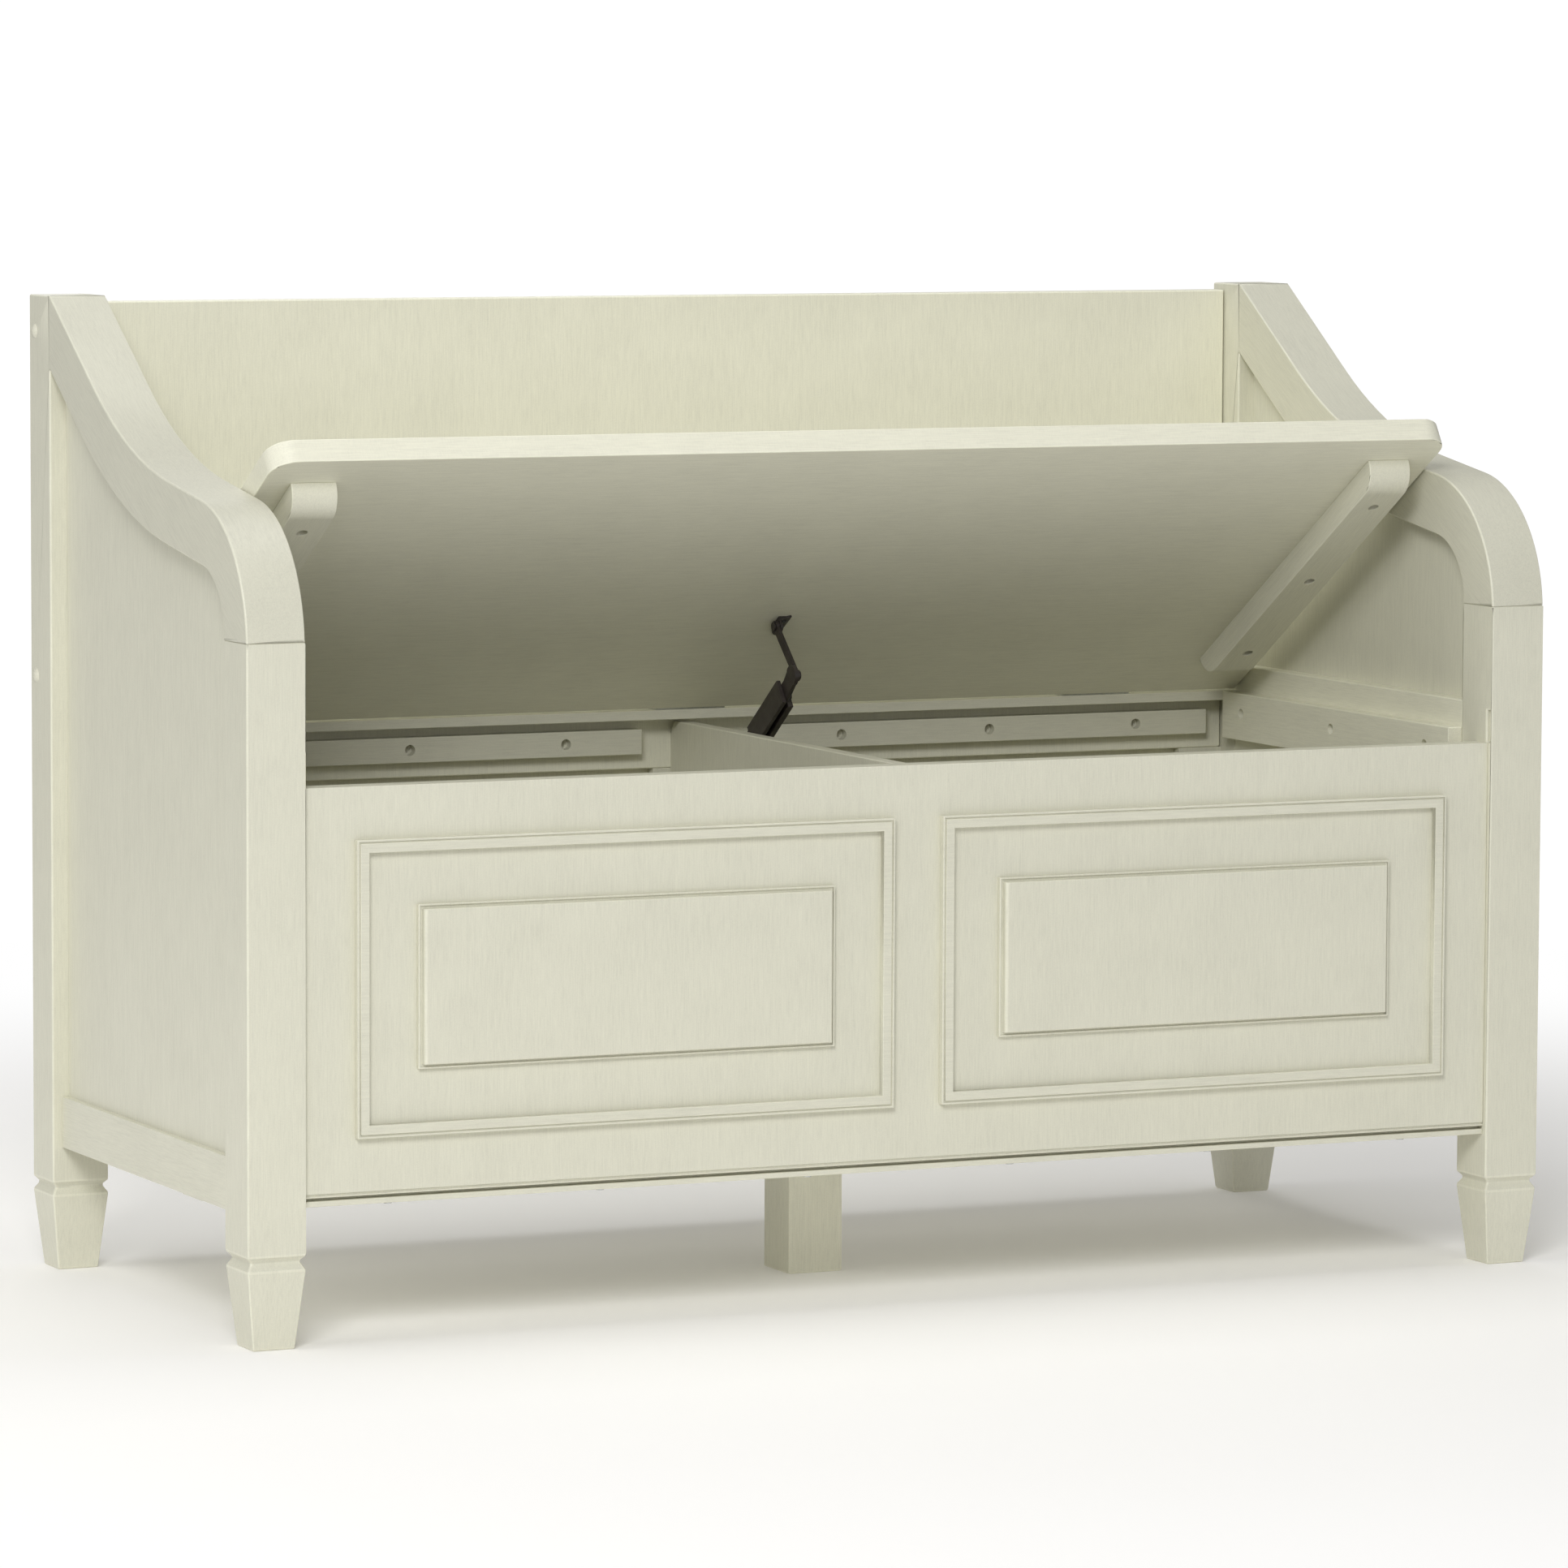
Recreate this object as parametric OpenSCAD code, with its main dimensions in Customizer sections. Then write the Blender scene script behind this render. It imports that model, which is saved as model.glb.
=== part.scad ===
// Storage bench: a settle with shaped arm rails, a boarded back and a lidded seat box.
// Millimetres. X runs left to right, the front faces -Y, Z is up, and the floor is at Z = 0.

/* [Overall] */
// Width over the posts
bench_w = 1067; // [960:1:1200]
// Depth over the posts
bench_d = 459; // [440:1:500]
// Height of the rear posts
bench_h = 746.4; // [740:0.1:760]
// Side of the square posts
post = 45; // [45:1:50]

/* [Feet] */
// Side of the foot where it meets the floor
foot_end = 32.2; // [28:0.1:45]
// Height of the tapered foot, up to the notch
foot_h = 58.8; // [50:0.1:62]
// Height of the notch that runs round each post
notch_h = 9.8; // [6:0.1:12]
// Depth of that notch
notch_depth = 3.1; // [1:0.1:4]

/* [Arm rails] */
// Slope of the rear stretch of the arm
rear_slope = 34; // [32:0.5:36]
// Slope of the front stretch of the arm
front_slope = 8.5; // [7:0.5:10]
// Radius of the hollow between the two slopes, on the upper edge
hollow_r = 380; // [370:1:390]
// Radius of the rounded front, on the upper edge
nose_r = 105; // [104:1:107]
// Radius of the rounded front, on the lower edge
nose_inner_r = 52; // [50:1:54]
// Depth of the rail, square to its run
rail_depth = 46.5; // [45:0.5:48]
// Length of the rear straight stretch
rear_straight = 118.5; // [116:0.5:121]
// Height of the joint between the front post and the arm
arm_joint_z = 511.4; // [508:0.1:514]
// How far the arm's rear end is let into the rear post
arm_let = 1; // [0.5:0.1:2]

/* [Sides] */
// How far the side panel lies behind the posts' outer faces
panel_recess = 13; // [8:0.5:16]
// Thickness of the side panel
side_panel_t = 18; // [16:0.5:18]
// Lower edge of the bottom rails
rail_z = 95.5; // [90:0.5:98]
// Height of the bottom rails
rail_h = 39; // [36:0.5:44]
// Lower edge of the seat rails
seat_rail_z = 365; // [355:1:370]
// Height of the seat rails
seat_rail_h = 71; // [60:1:75]

/* [Box] */
// Distance of the front panel behind the posts' front faces
front_setback = 4.5; // [2:0.5:8]
// Thickness of the front panel
front_t = 18; // [16:0.5:20]
// Upper edge of the front panel
front_top = 406; // [395:1:408]
// Underside of the bottom panel
floor_z = 102.5; // [101:0.5:104]
// Thickness of the bottom panel
floor_t = 4; // [3:0.5:5]
// Thickness of the divider and of the cleats
board_t = 12; // [10:0.5:12]
// Height of the seat support, where the closed lid rests
seat_z = 415.4; // [412:0.1:418]

/* [Front ornament] */
// Distance of each ornament's centre from the bench's centre
ornament_x = 234.5; // [225:0.5:240]
// Height of each ornament's centre
ornament_z = 259.3; // [255:0.1:262]
// Outer width of the framing moulding
frame_w = 429.3; // [400:0.1:440]
// Outer height of the framing moulding
frame_h = 216.5; // [190:0.5:225]
// Width of the moulding strip
strip_w = 9.4; // [8:0.1:14]
// How far the moulding stands proud
strip_t = 6; // [4:0.5:6]
// Width of the raised plate
plate_w = 332.8; // [300:0.1:350]
// Height of the raised plate
plate_h = 120; // [100:1:140]
// How far the raised plate stands proud
plate_t = 8; // [7:0.5:9]

/* [Back] */
// Distance of the back panel's face from the posts' rear faces
back_setback = 20.5; // [18:0.5:21]
// Thickness of the back
back_t = 16; // [15:0.5:17]
// Upper edge of the back panel
back_top = 741; // [700:1:742]
// Joint between the upper panel and the boarding below it
back_joint = 367; // [360:1:369]

/* [Lid] */
// Angle of the lid, from closed
lid_open = 32.3; // [0:0.1:36]
// Thickness of the lid board
lid_t = 18.4; // [17:0.1:18.6]
// Length of the lid, front to back
lid_l = 412.5; // [405:0.5:413]
// Gap between the lid and each post
lid_gap = 1.9; // [1.5:0.1:3]
// Radius of the lid's front corners
lid_corner = 20; // [10:1:24]
// Width of the lid battens
batten_w = 35.5; // [30:0.5:38]
// Thickness of the lid battens
batten_t = 20; // [15:0.5:20]

/* [Lid stay] */
// Slope of the channel arm when the lid stands at its stored angle
stay_slope = 36.87; // [36.5:0.01:37.2]
// Length of the channel arm
channel_l = 68; // [66:1:69]
// Depth of the channel arm
channel_h = 20; // [19:0.5:20]
// Thickness of the stay's inner arm
stay_arm_t = 3.2; // [2.8:0.1:3.4]
// Thickness of the stay's link
stay_link_t = 2.9; // [2.4:0.1:3]

/* [Hidden] */
$fn = 64;

paint = [0.85, 0.84, 0.77];
beech = [0.78, 0.62, 0.42];
steel = [0.62, 0.63, 0.64];
black = [0.13, 0.12, 0.11];

// Planes of the frame. The raised plates stand proud of the front posts, and the origin is
// midway between the plates' faces and the rear posts' faces.
plate_reach = plate_t - front_setback;
front_y = plate_reach - (bench_d + plate_reach) / 2;
back_y = front_y + bench_d;
front_in = front_y + post;
rear_in = back_y - post;
side_x = bench_w / 2;
inner_x = side_x - post;
post_x = side_x - post / 2;
front_post_y = front_y + post / 2;
panel_out = side_x - panel_recess;
panel_in = panel_out - side_panel_t;
rail_out = side_x - 7.6;
rail_in = rail_out - 25;
rail_top = rail_z + rail_h;
panel_y = front_y + front_setback;
panel_back = panel_y + front_t;
floor_top = floor_z + floor_t;
back_face = back_y - back_setback;
rear_rail_y = back_face - 2;
groove_depth = 6;

// Arm rail: points where its straights meet its arcs, in the YZ plane
function slope_n(a) = [-sin(a), cos(a)];
function slope_t(a) = [cos(a), sin(a)];
arm_top = [rear_in, bench_h];
hollow_start = arm_top - rear_straight * slope_t(rear_slope);
hollow_c = hollow_start + hollow_r * slope_n(rear_slope);
hollow_end = hollow_c - hollow_r * slope_n(front_slope);
nose_y = front_y + nose_r;
nose_top_y = nose_y - nose_r * sin(front_slope);
nose_z = hollow_end[1] - (hollow_end[0] - nose_top_y) * tan(front_slope) - nose_r * cos(front_slope);
nose_in_y = front_in + nose_inner_r;
nose_in_z = nose_z + (nose_in_y - nose_y) * tan(front_slope)
    + (nose_r - rail_depth - nose_inner_r) / cos(front_slope);
arc_step = 2.5;
function arc(c, r, from, to) = let (n = ceil(abs(to - from) / arc_step))
    [for (i = [0:n]) c + r * [cos(from + (to - from) * i / n), sin(from + (to - from) * i / n)]];
arm_upper = concat([arm_top],
    arc(hollow_c, hollow_r, rear_slope - 90, front_slope - 90),
    arc([nose_y, nose_z], nose_r, front_slope + 90, 180));
arm_rear_low = bench_h - rail_depth / cos(rear_slope);
arm_lower = concat([[rear_in, arm_rear_low]],
    arc(hollow_c, hollow_r + rail_depth, rear_slope - 90, front_slope - 90),
    arc([nose_in_y, nose_in_z], nose_inner_r, front_slope + 90, 180));

function reversed(v) = [for (i = [len(v) - 1:-1:0]) v[i]];

// Dowels: a list of centres for each group, halfway between the two parts they join
dowel_d = 8;
dowel_l = 36;
arm_dowel_z = 706;
arm_dowel_off = 10;
rail_dowel_inset = 9.5;
rail_dowel_z = [rail_z + rail_dowel_inset, rail_top - rail_dowel_inset];
rail_dowel_x = (rail_out + rail_in) / 2;
seat_dowel_inset = 15.5;
seat_dowel_z = [seat_rail_z + seat_dowel_inset, seat_rail_z + seat_rail_h - seat_dowel_inset];
seat_dowel_x = (inner_x + panel_in) / 2;
cross_dowel_z = [150, 256, 362];
front_dowel_y = panel_y + front_t / 2;
rear_rail_t = 18;
rear_dowel_y = rear_rail_y + rear_rail_t / 2;
divider_dowel_z = [180, 330];
divider_dowel_d = 6;
divider_dowel_l = 18;

// Bolts through the rear posts into the edges of the back panel
bolt_z = [456, 719];
bolt_y = back_face + back_t / 2;
bolt_d = 5;
bolt_head_d = 9;
bolt_head_t = 3;
bolt_l = 80;
cap_d = 11;
cap_h = 2.6;

// Screws in the cleats and battens, sunk in round recesses
recess_d = 8.5;
recess_h = 8.5;
screw_head_d = 8;
screw_head_t = 2;
screw_d = 4;
// The side cleats lie just under the closed lid
cleat_play = 0.3;
side_cleat_z = [377, seat_z - cleat_play];
side_screw_z = 398.5;
side_screw_y = [-145.3, 4.7, 154.7];
rear_cleat_z = [379.5, 399.5];
rear_cleat_x = [[-431, -35.8], [73.4, 468.4]];
rear_screw_x = [[-366, -233.5, -101.1], [138.6, 270.6, 403.4]];
rear_screw_bite = 10;
side_screw_bite = 11;
batten_screw_bite = 12;
batten_x = 446.5;
batten_s = [56, 381];
batten_screw_s = [101, 221, 341];

// Bottom, leg and bearer
leg_y = -28.2;
bearer_w = 40;
bearer_t = 18;
bearer_z = floor_z - bearer_t;
bottom_screw_x = [-420, -252, -84, 84, 252, 420];
bottom_screw_y = [-110, 100];
bottom_screw_bite = 14;
small_screw_d = 3;
small_head_d = 6;
small_head_t = 1.5;

// Back boarding below the seat
stile_t = 10;
stile_x = [[-inner_x, -450], [-20.8, 20.8], [450, inner_x]];
board_screw_x = [-469, 0, 469];
board_screw_z = [150, 290];
board_screw_l = 14;

// Butt hinges between the seat strip and the lid
strip_t_seat = 7.8;
knuckle_r = 1.6;
hinge_y = rear_in + 0.8;
hinge_z = seat_z + knuckle_r;
hinge_x = [-360, 0, 360];
hinge_w = 60;
knuckles = 5;
knuckle_l = hinge_w / knuckles;
leaf_t = 0.8;
leaf_l = 17;
play = 0.2;
pin_d = 1.6;
running = 0.05;
lid_rear = rear_in - 1;
lid_front = lid_rear - lid_l;
lid_x = inner_x - lid_gap;

// Lid stay, in the YZ plane at the stored angle
stay_corner = [back_face - 172.4, 449];
stay_pivot = [back_face - 126.5, 399];
stay_elbow = [back_face - 191, 454];
channel_x = [6.4, 18];
slot_x = [9.6, 13.4];
arm_x = [9.9, 9.9 + stay_arm_t];
link_x = [13.5, 13.5 + stay_link_t];
ear_x = [16.7, 18.7];
bracket_s = 146;
bracket_drop = 6.5;
pivot_d = 4;
rivet_d = 3;
elbow_r = 8;

function stay_at(u, v) = stay_corner + u * [cos(stay_slope), -sin(stay_slope)]
    + v * [-sin(stay_slope), -cos(stay_slope)];
// A point of the closed lid, turned with the lid to its stored angle
function lid_point(p) = [hinge_y, hinge_z]
    + [(p[0] - hinge_y) * cos(lid_open) + (p[1] - hinge_z) * sin(lid_open),
       -(p[0] - hinge_y) * sin(lid_open) + (p[1] - hinge_z) * cos(lid_open)];
bracket_closed = [lid_rear - bracket_s, seat_z - bracket_drop];
bracket_open = lid_point(bracket_closed);
stay_rivet_at = [stay_at(8, 10), stay_at(34, 10)];

// ---- helpers ----

// A block between two planes on each axis
module block(x, y, z)
    translate([x[0], y[0], z[0]]) cube([x[1] - x[0], y[1] - y[0], z[1] - z[0]]);

// An outline in the YZ plane, as a slab from x[0] to x[1]
module slab(x)
    translate([x[0], 0, 0]) rotate([90, 0, 90]) linear_extrude(x[1] - x[0]) children();

module on_side(left)
    mirror([left ? 1 : 0, 0, 0]) children();

module both_sides() {
    children();
    mirror([1, 0, 0]) children();
}

module rod_x(p, d, l)
    translate(p) rotate([0, 90, 0]) cylinder(d = d, h = l, center = true);

module rod_y(p, d, l)
    translate(p) rotate([90, 0, 0]) cylinder(d = d, h = l, center = true);

module rod_z(p, d, l)
    translate(p) cylinder(d = d, h = l, center = true);

// A pin along X through a point of the YZ plane
module pin_x(p, d, x)
    translate([x[0], p[0], p[1]]) rotate([0, 90, 0]) cylinder(d = d, h = x[1] - x[0]);

// A screw along -Z from the origin: the top of its head is sunk below the surface
module screw(sink, head_d, head_t, d, l)
    difference() {
        union() {
            translate([0, 0, -sink - head_t]) cylinder(d = head_d, h = head_t);
            translate([0, 0, -sink - head_t - l]) cylinder(d = d, h = l);
        }
        // Cross recess for the driver
        for (turn = [0, 90])
            translate([0, 0, -sink]) rotate([0, 0, turn])
                cube([0.62 * head_d, 0.16 * head_d, head_t], center = true);
    }

module screw_bore(recess, open_d, d, l) {
    translate([0, 0, -recess]) cylinder(d = open_d, h = recess + 1);
    translate([0, 0, -recess - l]) cylinder(d = d, h = l + 1);
}

// ---- dowel and screw groups, on the right-hand side where they are mirrored ----

module arm_dowel_set()
    for (x = [post_x - arm_dowel_off, post_x + arm_dowel_off]) {
        rod_z([x, front_post_y, arm_joint_z], dowel_d, dowel_l);
        rod_y([x, rear_in, arm_dowel_z], dowel_d, dowel_l);
    }

module side_rail_dowel_set()
    for (y = [front_in, rear_in]) {
        for (z = rail_dowel_z) rod_y([rail_dowel_x, y, z], dowel_d, dowel_l);
        for (z = seat_dowel_z) rod_y([seat_dowel_x, y, z], dowel_d, dowel_l);
    }

module cross_dowel_set() {
    for (z = cross_dowel_z) rod_x([inner_x, front_dowel_y, z], dowel_d, dowel_l);
    rod_x([inner_x, rear_dowel_y, rail_z + rail_h / 2], dowel_d, dowel_l);
}

module divider_dowel_set()
    for (y = [panel_back, back_face], z = divider_dowel_z)
        rod_y([0, y, z], divider_dowel_d, divider_dowel_l);

module at_bolts()
    for (z = bolt_z) translate([side_x, bolt_y, z]) rotate([0, 90, 0]) children();

module at_side_screws()
    for (y = side_screw_y) translate([inner_x - board_t, y, side_screw_z]) rotate([0, -90, 0]) children();

module at_rear_screws()
    for (xs = rear_screw_x, x = xs)
        translate([x, back_face - board_t, (rear_cleat_z[0] + rear_cleat_z[1]) / 2])
            rotate([90, 0, 0]) children();

module at_batten_screws()
    for (s = batten_screw_s)
        translate([batten_x, lid_rear - s, seat_z - batten_t]) rotate([180, 0, 0]) children();

module at_bottom_screws() {
    for (x = bottom_screw_x) translate([x, front_dowel_y, floor_z]) rotate([180, 0, 0]) children();
    for (y = bottom_screw_y) translate([0, y, floor_z]) rotate([180, 0, 0]) children();
}

module at_board_screws()
    for (x = board_screw_x, z = board_screw_z)
        translate([x, back_face + back_t, z]) rotate([-90, 0, 0]) children();

module rail_bore()
    screw_bore(recess_h, recess_d, screw_d, board_t - recess_h + side_screw_bite);

// ---- posts and arms ----

// Outline of a post seen square on: tapered foot, notch, then straight up to h
function post_outline(h) = let (
        s = post / 2,
        half = [
            [foot_end / 2, 0], [s, foot_h], [s - notch_depth, foot_h + 0.47 * notch_h],
            [s - notch_depth, foot_h + 0.66 * notch_h], [s, foot_h + notch_h], [s, h]
        ])
    concat(half, reversed([for (p = half) [-p[0], p[1]]]));

module post_blank(h)
    intersection() {
        rotate([90, 0, 0]) linear_extrude(post, center = true) polygon(post_outline(h));
        rotate([90, 0, 90]) linear_extrude(post, center = true) polygon(post_outline(h));
    }

groove_y = [1.2, 7.1];
groove_z = [407, 431];

// A fine shadow line runs round the top of the front post, under the arm
joint_line_h = 0.7;
joint_line_d = 0.8;
module joint_line()
    difference() {
        block([inner_x - 1, side_x + 1], [front_y - 1, front_in + 1],
            [arm_joint_z - joint_line_h, arm_joint_z + 1]);
        block([inner_x + joint_line_d, side_x - joint_line_d], [front_y + joint_line_d, front_in + 2],
            [arm_joint_z - joint_line_h - 1, arm_joint_z + 2]);
    }

module front_post()
    difference() {
        translate([post_x, front_post_y, 0]) post_blank(arm_joint_z);
        joint_line();
        arm_dowel_set();
        side_rail_dowel_set();
        cross_dowel_set();
        block([inner_x - 1, inner_x + 3], [for (g = groove_y) front_y + g], groove_z);
    }

module rear_post()
    difference() {
        translate([post_x, back_y - post / 2, 0]) post_blank(bench_h);
        block([inner_x - 1, side_x + 1], [rear_in - 1, rear_in + arm_let], [arm_rear_low, bench_h + 1]);
        arm_dowel_set();
        side_rail_dowel_set();
        cross_dowel_set();
        at_bolts() screw_bore(bolt_head_t, bolt_head_d, bolt_d, bolt_l);
    }

module arm_rail()
    difference() {
        intersection() {
            slab([inner_x, side_x]) polygon(concat([[rear_in + arm_let, bench_h]], arm_upper,
                [[front_in, nose_z]], reversed(arm_lower), [[rear_in + arm_let, arm_rear_low]]));
            block([inner_x - 1, side_x + 1], [front_y - 1, back_y], [arm_joint_z, bench_h + 1]);
        }
        arm_dowel_set();
    }

module left_front_post() color(paint) on_side(true) front_post();
module right_front_post() color(paint) on_side(false) front_post();
module left_rear_post() color(paint) on_side(true) rear_post();
module right_rear_post() color(paint) on_side(false) rear_post();
module left_arm_rail() color(paint) on_side(true) arm_rail();
module right_arm_rail() color(paint) on_side(false) arm_rail();

// ---- sides ----

module side_panel()
    slab([panel_in, panel_out])
        polygon(concat(arm_lower, [[front_in, rail_top], [rear_in, rail_top]]));

module bottom_rail()
    difference() {
        block([rail_in, rail_out], [front_in, rear_in], [rail_z, rail_top]);
        block([rail_in - 1, rail_in + groove_depth], [front_in - 1, rear_in + 1], [floor_z, floor_top]);
        side_rail_dowel_set();
    }

module seat_rail()
    difference() {
        block([inner_x, panel_in], [front_in, rear_in], [seat_rail_z, seat_rail_z + seat_rail_h]);
        side_rail_dowel_set();
        at_side_screws() rail_bore();
    }

module side_cleat()
    difference() {
        block([inner_x - board_t, inner_x], [front_in, rear_in], side_cleat_z);
        at_side_screws() rail_bore();
    }

module left_side_panel() color(paint) on_side(true) side_panel();
module right_side_panel() color(paint) on_side(false) side_panel();
module left_bottom_rail() color(paint) on_side(true) bottom_rail();
module right_bottom_rail() color(paint) on_side(false) bottom_rail();
module left_seat_rail() color(paint) on_side(true) seat_rail();
module right_seat_rail() color(paint) on_side(false) seat_rail();
module left_side_cleat() color(paint) on_side(true) side_cleat();
module right_side_cleat() color(paint) on_side(false) side_cleat();

// ---- box ----

lip_z = 109;
lip_t = 7;
bead_z = 110.2;
bead_h = 1.5;

// The front panel's lower edge is rebated, with a fine bead groove above it
module front_panel() color(paint)
    difference() {
        block([-inner_x, inner_x], [panel_y, panel_back], [floor_top, front_top]);
        block([-inner_x - 1, inner_x + 1], [panel_y - 1, panel_y + lip_t], [floor_top - 1, lip_z]);
        block([-inner_x - 1, inner_x + 1], [panel_y - 1, panel_y + 1.2], [bead_z, bead_z + bead_h]);
        both_sides() cross_dowel_set();
        divider_dowel_set();
        at_bottom_screws() screw_bore(floor_t, small_screw_d, small_screw_d, bottom_screw_bite);
    }

// Profile of the mouldings: a bead, a fine groove (the quirk), then the flat of the strip
bead_w = 1.5;
quirk_w = 1.1;
quirk_depth = 1.3;

module frame_ring(w, h, t, y0, depth)
    translate([0, y0, 0]) rotate([90, 0, 0]) linear_extrude(depth) difference() {
        square([w, h], center = true);
        square([w - 2 * t, h - 2 * t], center = true);
    }

module moulding()
    translate([ornament_x, panel_y, ornament_z]) difference() {
        frame_ring(frame_w, frame_h, strip_w, 0, strip_t);
        frame_ring(frame_w - 2 * bead_w, frame_h - 2 * bead_w, quirk_w, quirk_depth - strip_t, strip_t);
    }

// The plate is a low base with a higher field inside a quirk
plate_base_t = 4;
plate_quirk_w = 1.7;

module raised_plate()
    translate([ornament_x, panel_y, ornament_z]) {
        field_w = plate_w - 2 * (bead_w + plate_quirk_w);
        field_h = plate_h - 2 * (bead_w + plate_quirk_w);
        difference() {
            translate([-plate_w / 2, -plate_base_t, -plate_h / 2]) cube([plate_w, plate_base_t, plate_h]);
            frame_ring(plate_w - 2 * bead_w, plate_h - 2 * bead_w, plate_quirk_w,
                quirk_depth - plate_base_t, plate_base_t);
        }
        translate([-field_w / 2, -plate_t, -field_h / 2]) cube([field_w, plate_t - plate_base_t, field_h]);
    }

module left_moulding() color(paint) on_side(true) moulding();
module right_moulding() color(paint) on_side(false) moulding();
module left_raised_plate() color(paint) on_side(true) raised_plate();
module right_raised_plate() color(paint) on_side(false) raised_plate();

// The bottom runs into grooves in the side rails and the rear rail, and lies under the front panel
module bottom_panel() color(paint)
    difference() {
        union() {
            block([-inner_x, inner_x], [panel_y + 1, rear_rail_y + groove_depth], [floor_z, floor_top]);
            block([-rail_in - groove_depth, rail_in + groove_depth], [front_in, rear_in],
                [floor_z, floor_top]);
        }
        at_bottom_screws() screw_bore(0, small_screw_d, small_screw_d, floor_t + 1);
    }

module centre_bearer() color(paint)
    difference() {
        block([-rail_in, rail_in], [leg_y - bearer_w / 2, leg_y + bearer_w / 2], [bearer_z, floor_z]);
        leg_dowel_rod();
    }

leg_dowel_d = 10;
leg_dowel_l = 38;
leg_dowel_drop = 25;

module leg_dowel_rod()
    translate([0, leg_y, bearer_z - leg_dowel_drop]) cylinder(d = leg_dowel_d, h = leg_dowel_l);

module centre_leg() color(paint)
    difference() {
        translate([-post / 2, leg_y - post / 2, 0]) cube([post, post, bearer_z]);
        leg_dowel_rod();
    }

divider_top = 405;
divider_round = 12;

module divider() color(paint)
    difference() {
        block([-board_t / 2, board_t / 2], [panel_back, back_face], [floor_top, divider_top]);
        block([-board_t, board_t], [rear_rail_y, back_face + 1], [floor_top - 1, rail_top]);
        divider_dowel_set();
        at_bottom_screws() screw_bore(floor_t, small_screw_d, small_screw_d, bottom_screw_bite);
        pin_x(stay_pivot, pivot_d, [-3, board_t]);
        difference() {
            block([-board_t, board_t], [back_face - divider_round, back_face + 1],
                [divider_top - divider_round, divider_top + 1]);
            rod_x([0, back_face - divider_round, divider_top - divider_round],
                2 * divider_round, 3 * board_t);
        }
    }

// ---- back ----

module rear_bottom_rail() color(paint)
    difference() {
        block([-inner_x, inner_x], [rear_rail_y, rear_rail_y + rear_rail_t], [rail_z, rail_top]);
        block([-inner_x - 1, inner_x + 1], [rear_rail_y - 1, rear_rail_y + groove_depth],
            [floor_z, floor_top]);
        both_sides() cross_dowel_set();
    }

module back_stiles() color(paint)
    difference() {
        for (x = stile_x) block(x, [back_face, back_face + stile_t], [rail_top, back_joint]);
        divider_dowel_set();
        at_board_screws() screw_bore(0, small_screw_d, small_screw_d, board_screw_l);
    }

module lower_back_board() color(paint)
    difference() {
        block([-inner_x, inner_x], [back_face + stile_t, back_face + back_t], [rail_top, back_joint]);
        at_board_screws() screw_bore(0, small_screw_d, small_screw_d, board_screw_l);
    }

module upper_back_panel() color(paint)
    difference() {
        block([-inner_x + 1, inner_x - 1], [back_face, back_face + back_t], [back_joint, back_top]);
        both_sides() at_bolts() screw_bore(bolt_head_t, bolt_head_d, bolt_d, bolt_l);
        at_rear_screws() screw_bore(recess_h, screw_d, screw_d, board_t - recess_h + rear_screw_bite);
    }

module rear_cleat(x)
    difference() {
        block(x, [back_face - board_t, back_face], rear_cleat_z);
        at_rear_screws() screw_bore(recess_h, recess_d, screw_d, board_t - recess_h + rear_screw_bite);
    }

module left_rear_cleat() color(paint) rear_cleat(rear_cleat_x[0]);
module right_rear_cleat() color(paint) rear_cleat(rear_cleat_x[1]);

module hinge_strip() color(paint)
    difference() {
        block([-inner_x, inner_x], [rear_in, back_face], [seat_z - strip_t_seat, seat_z]);
        at_seat_leaf_screws() screw_bore(0, leaf_screw_d, leaf_screw_d, leaf_t + seat_leaf_bite);
    }

// ---- dowels, bolts and screws ----

module arm_dowels() color(beech) both_sides() arm_dowel_set();
module side_rail_dowels() color(beech) both_sides() side_rail_dowel_set();
module cross_dowels() color(beech) both_sides() cross_dowel_set();
module divider_dowels() color(beech) divider_dowel_set();
module leg_dowel() color(beech) leg_dowel_rod();

module back_bolts() color(steel) both_sides() at_bolts()
    screw(0, bolt_head_d, bolt_head_t, bolt_d, bolt_l - bolt_head_t);

// Domed caps over the bolt heads
cap_r = (pow(cap_d / 2, 2) + cap_h * cap_h) / (2 * cap_h);
module screw_caps() color(paint) both_sides() at_bolts()
    intersection() {
        translate([0, 0, cap_h - cap_r]) sphere(cap_r);
        cylinder(d = 2 * cap_d, h = 2 * cap_h);
    }

module cleat_screws() color(steel) {
    both_sides() at_side_screws() screw(recess_h - screw_head_t, screw_head_d, screw_head_t,
        screw_d, board_t - recess_h + side_screw_bite);
    at_rear_screws() screw(recess_h - screw_head_t, screw_head_d, screw_head_t,
        screw_d, board_t - recess_h + rear_screw_bite);
}

module back_board_screws() color(steel) at_board_screws()
    screw(-small_head_t, small_head_d, small_head_t, small_screw_d, board_screw_l);

module bottom_screws() color(steel) at_bottom_screws()
    screw(-small_head_t, small_head_d, small_head_t, small_screw_d, floor_t + bottom_screw_bite);

// ---- hinges ----

leaf_screw_d = 1.8;
leaf_head_d = 3.6;
leaf_head_t = 0.8;
leaf_screw_x = [-22, 0, 22];
seat_screw_off = 11;
lid_screw_off = 9;
seat_leaf_bite = 6;
lid_leaf_bite = 12;
bracket_bite = 10;

module at_seat_leaf_screws()
    for (h = hinge_x, x = leaf_screw_x)
        translate([h + x, hinge_y + seat_screw_off, seat_z + leaf_t]) children();

// The leaf on the lid's rear edge, with the lid closed
module at_lid_leaf_screws()
    for (h = hinge_x, x = leaf_screw_x)
        translate([h + x, lid_rear + leaf_t, hinge_z + lid_screw_off]) rotate([-90, 0, 0]) children();

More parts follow.
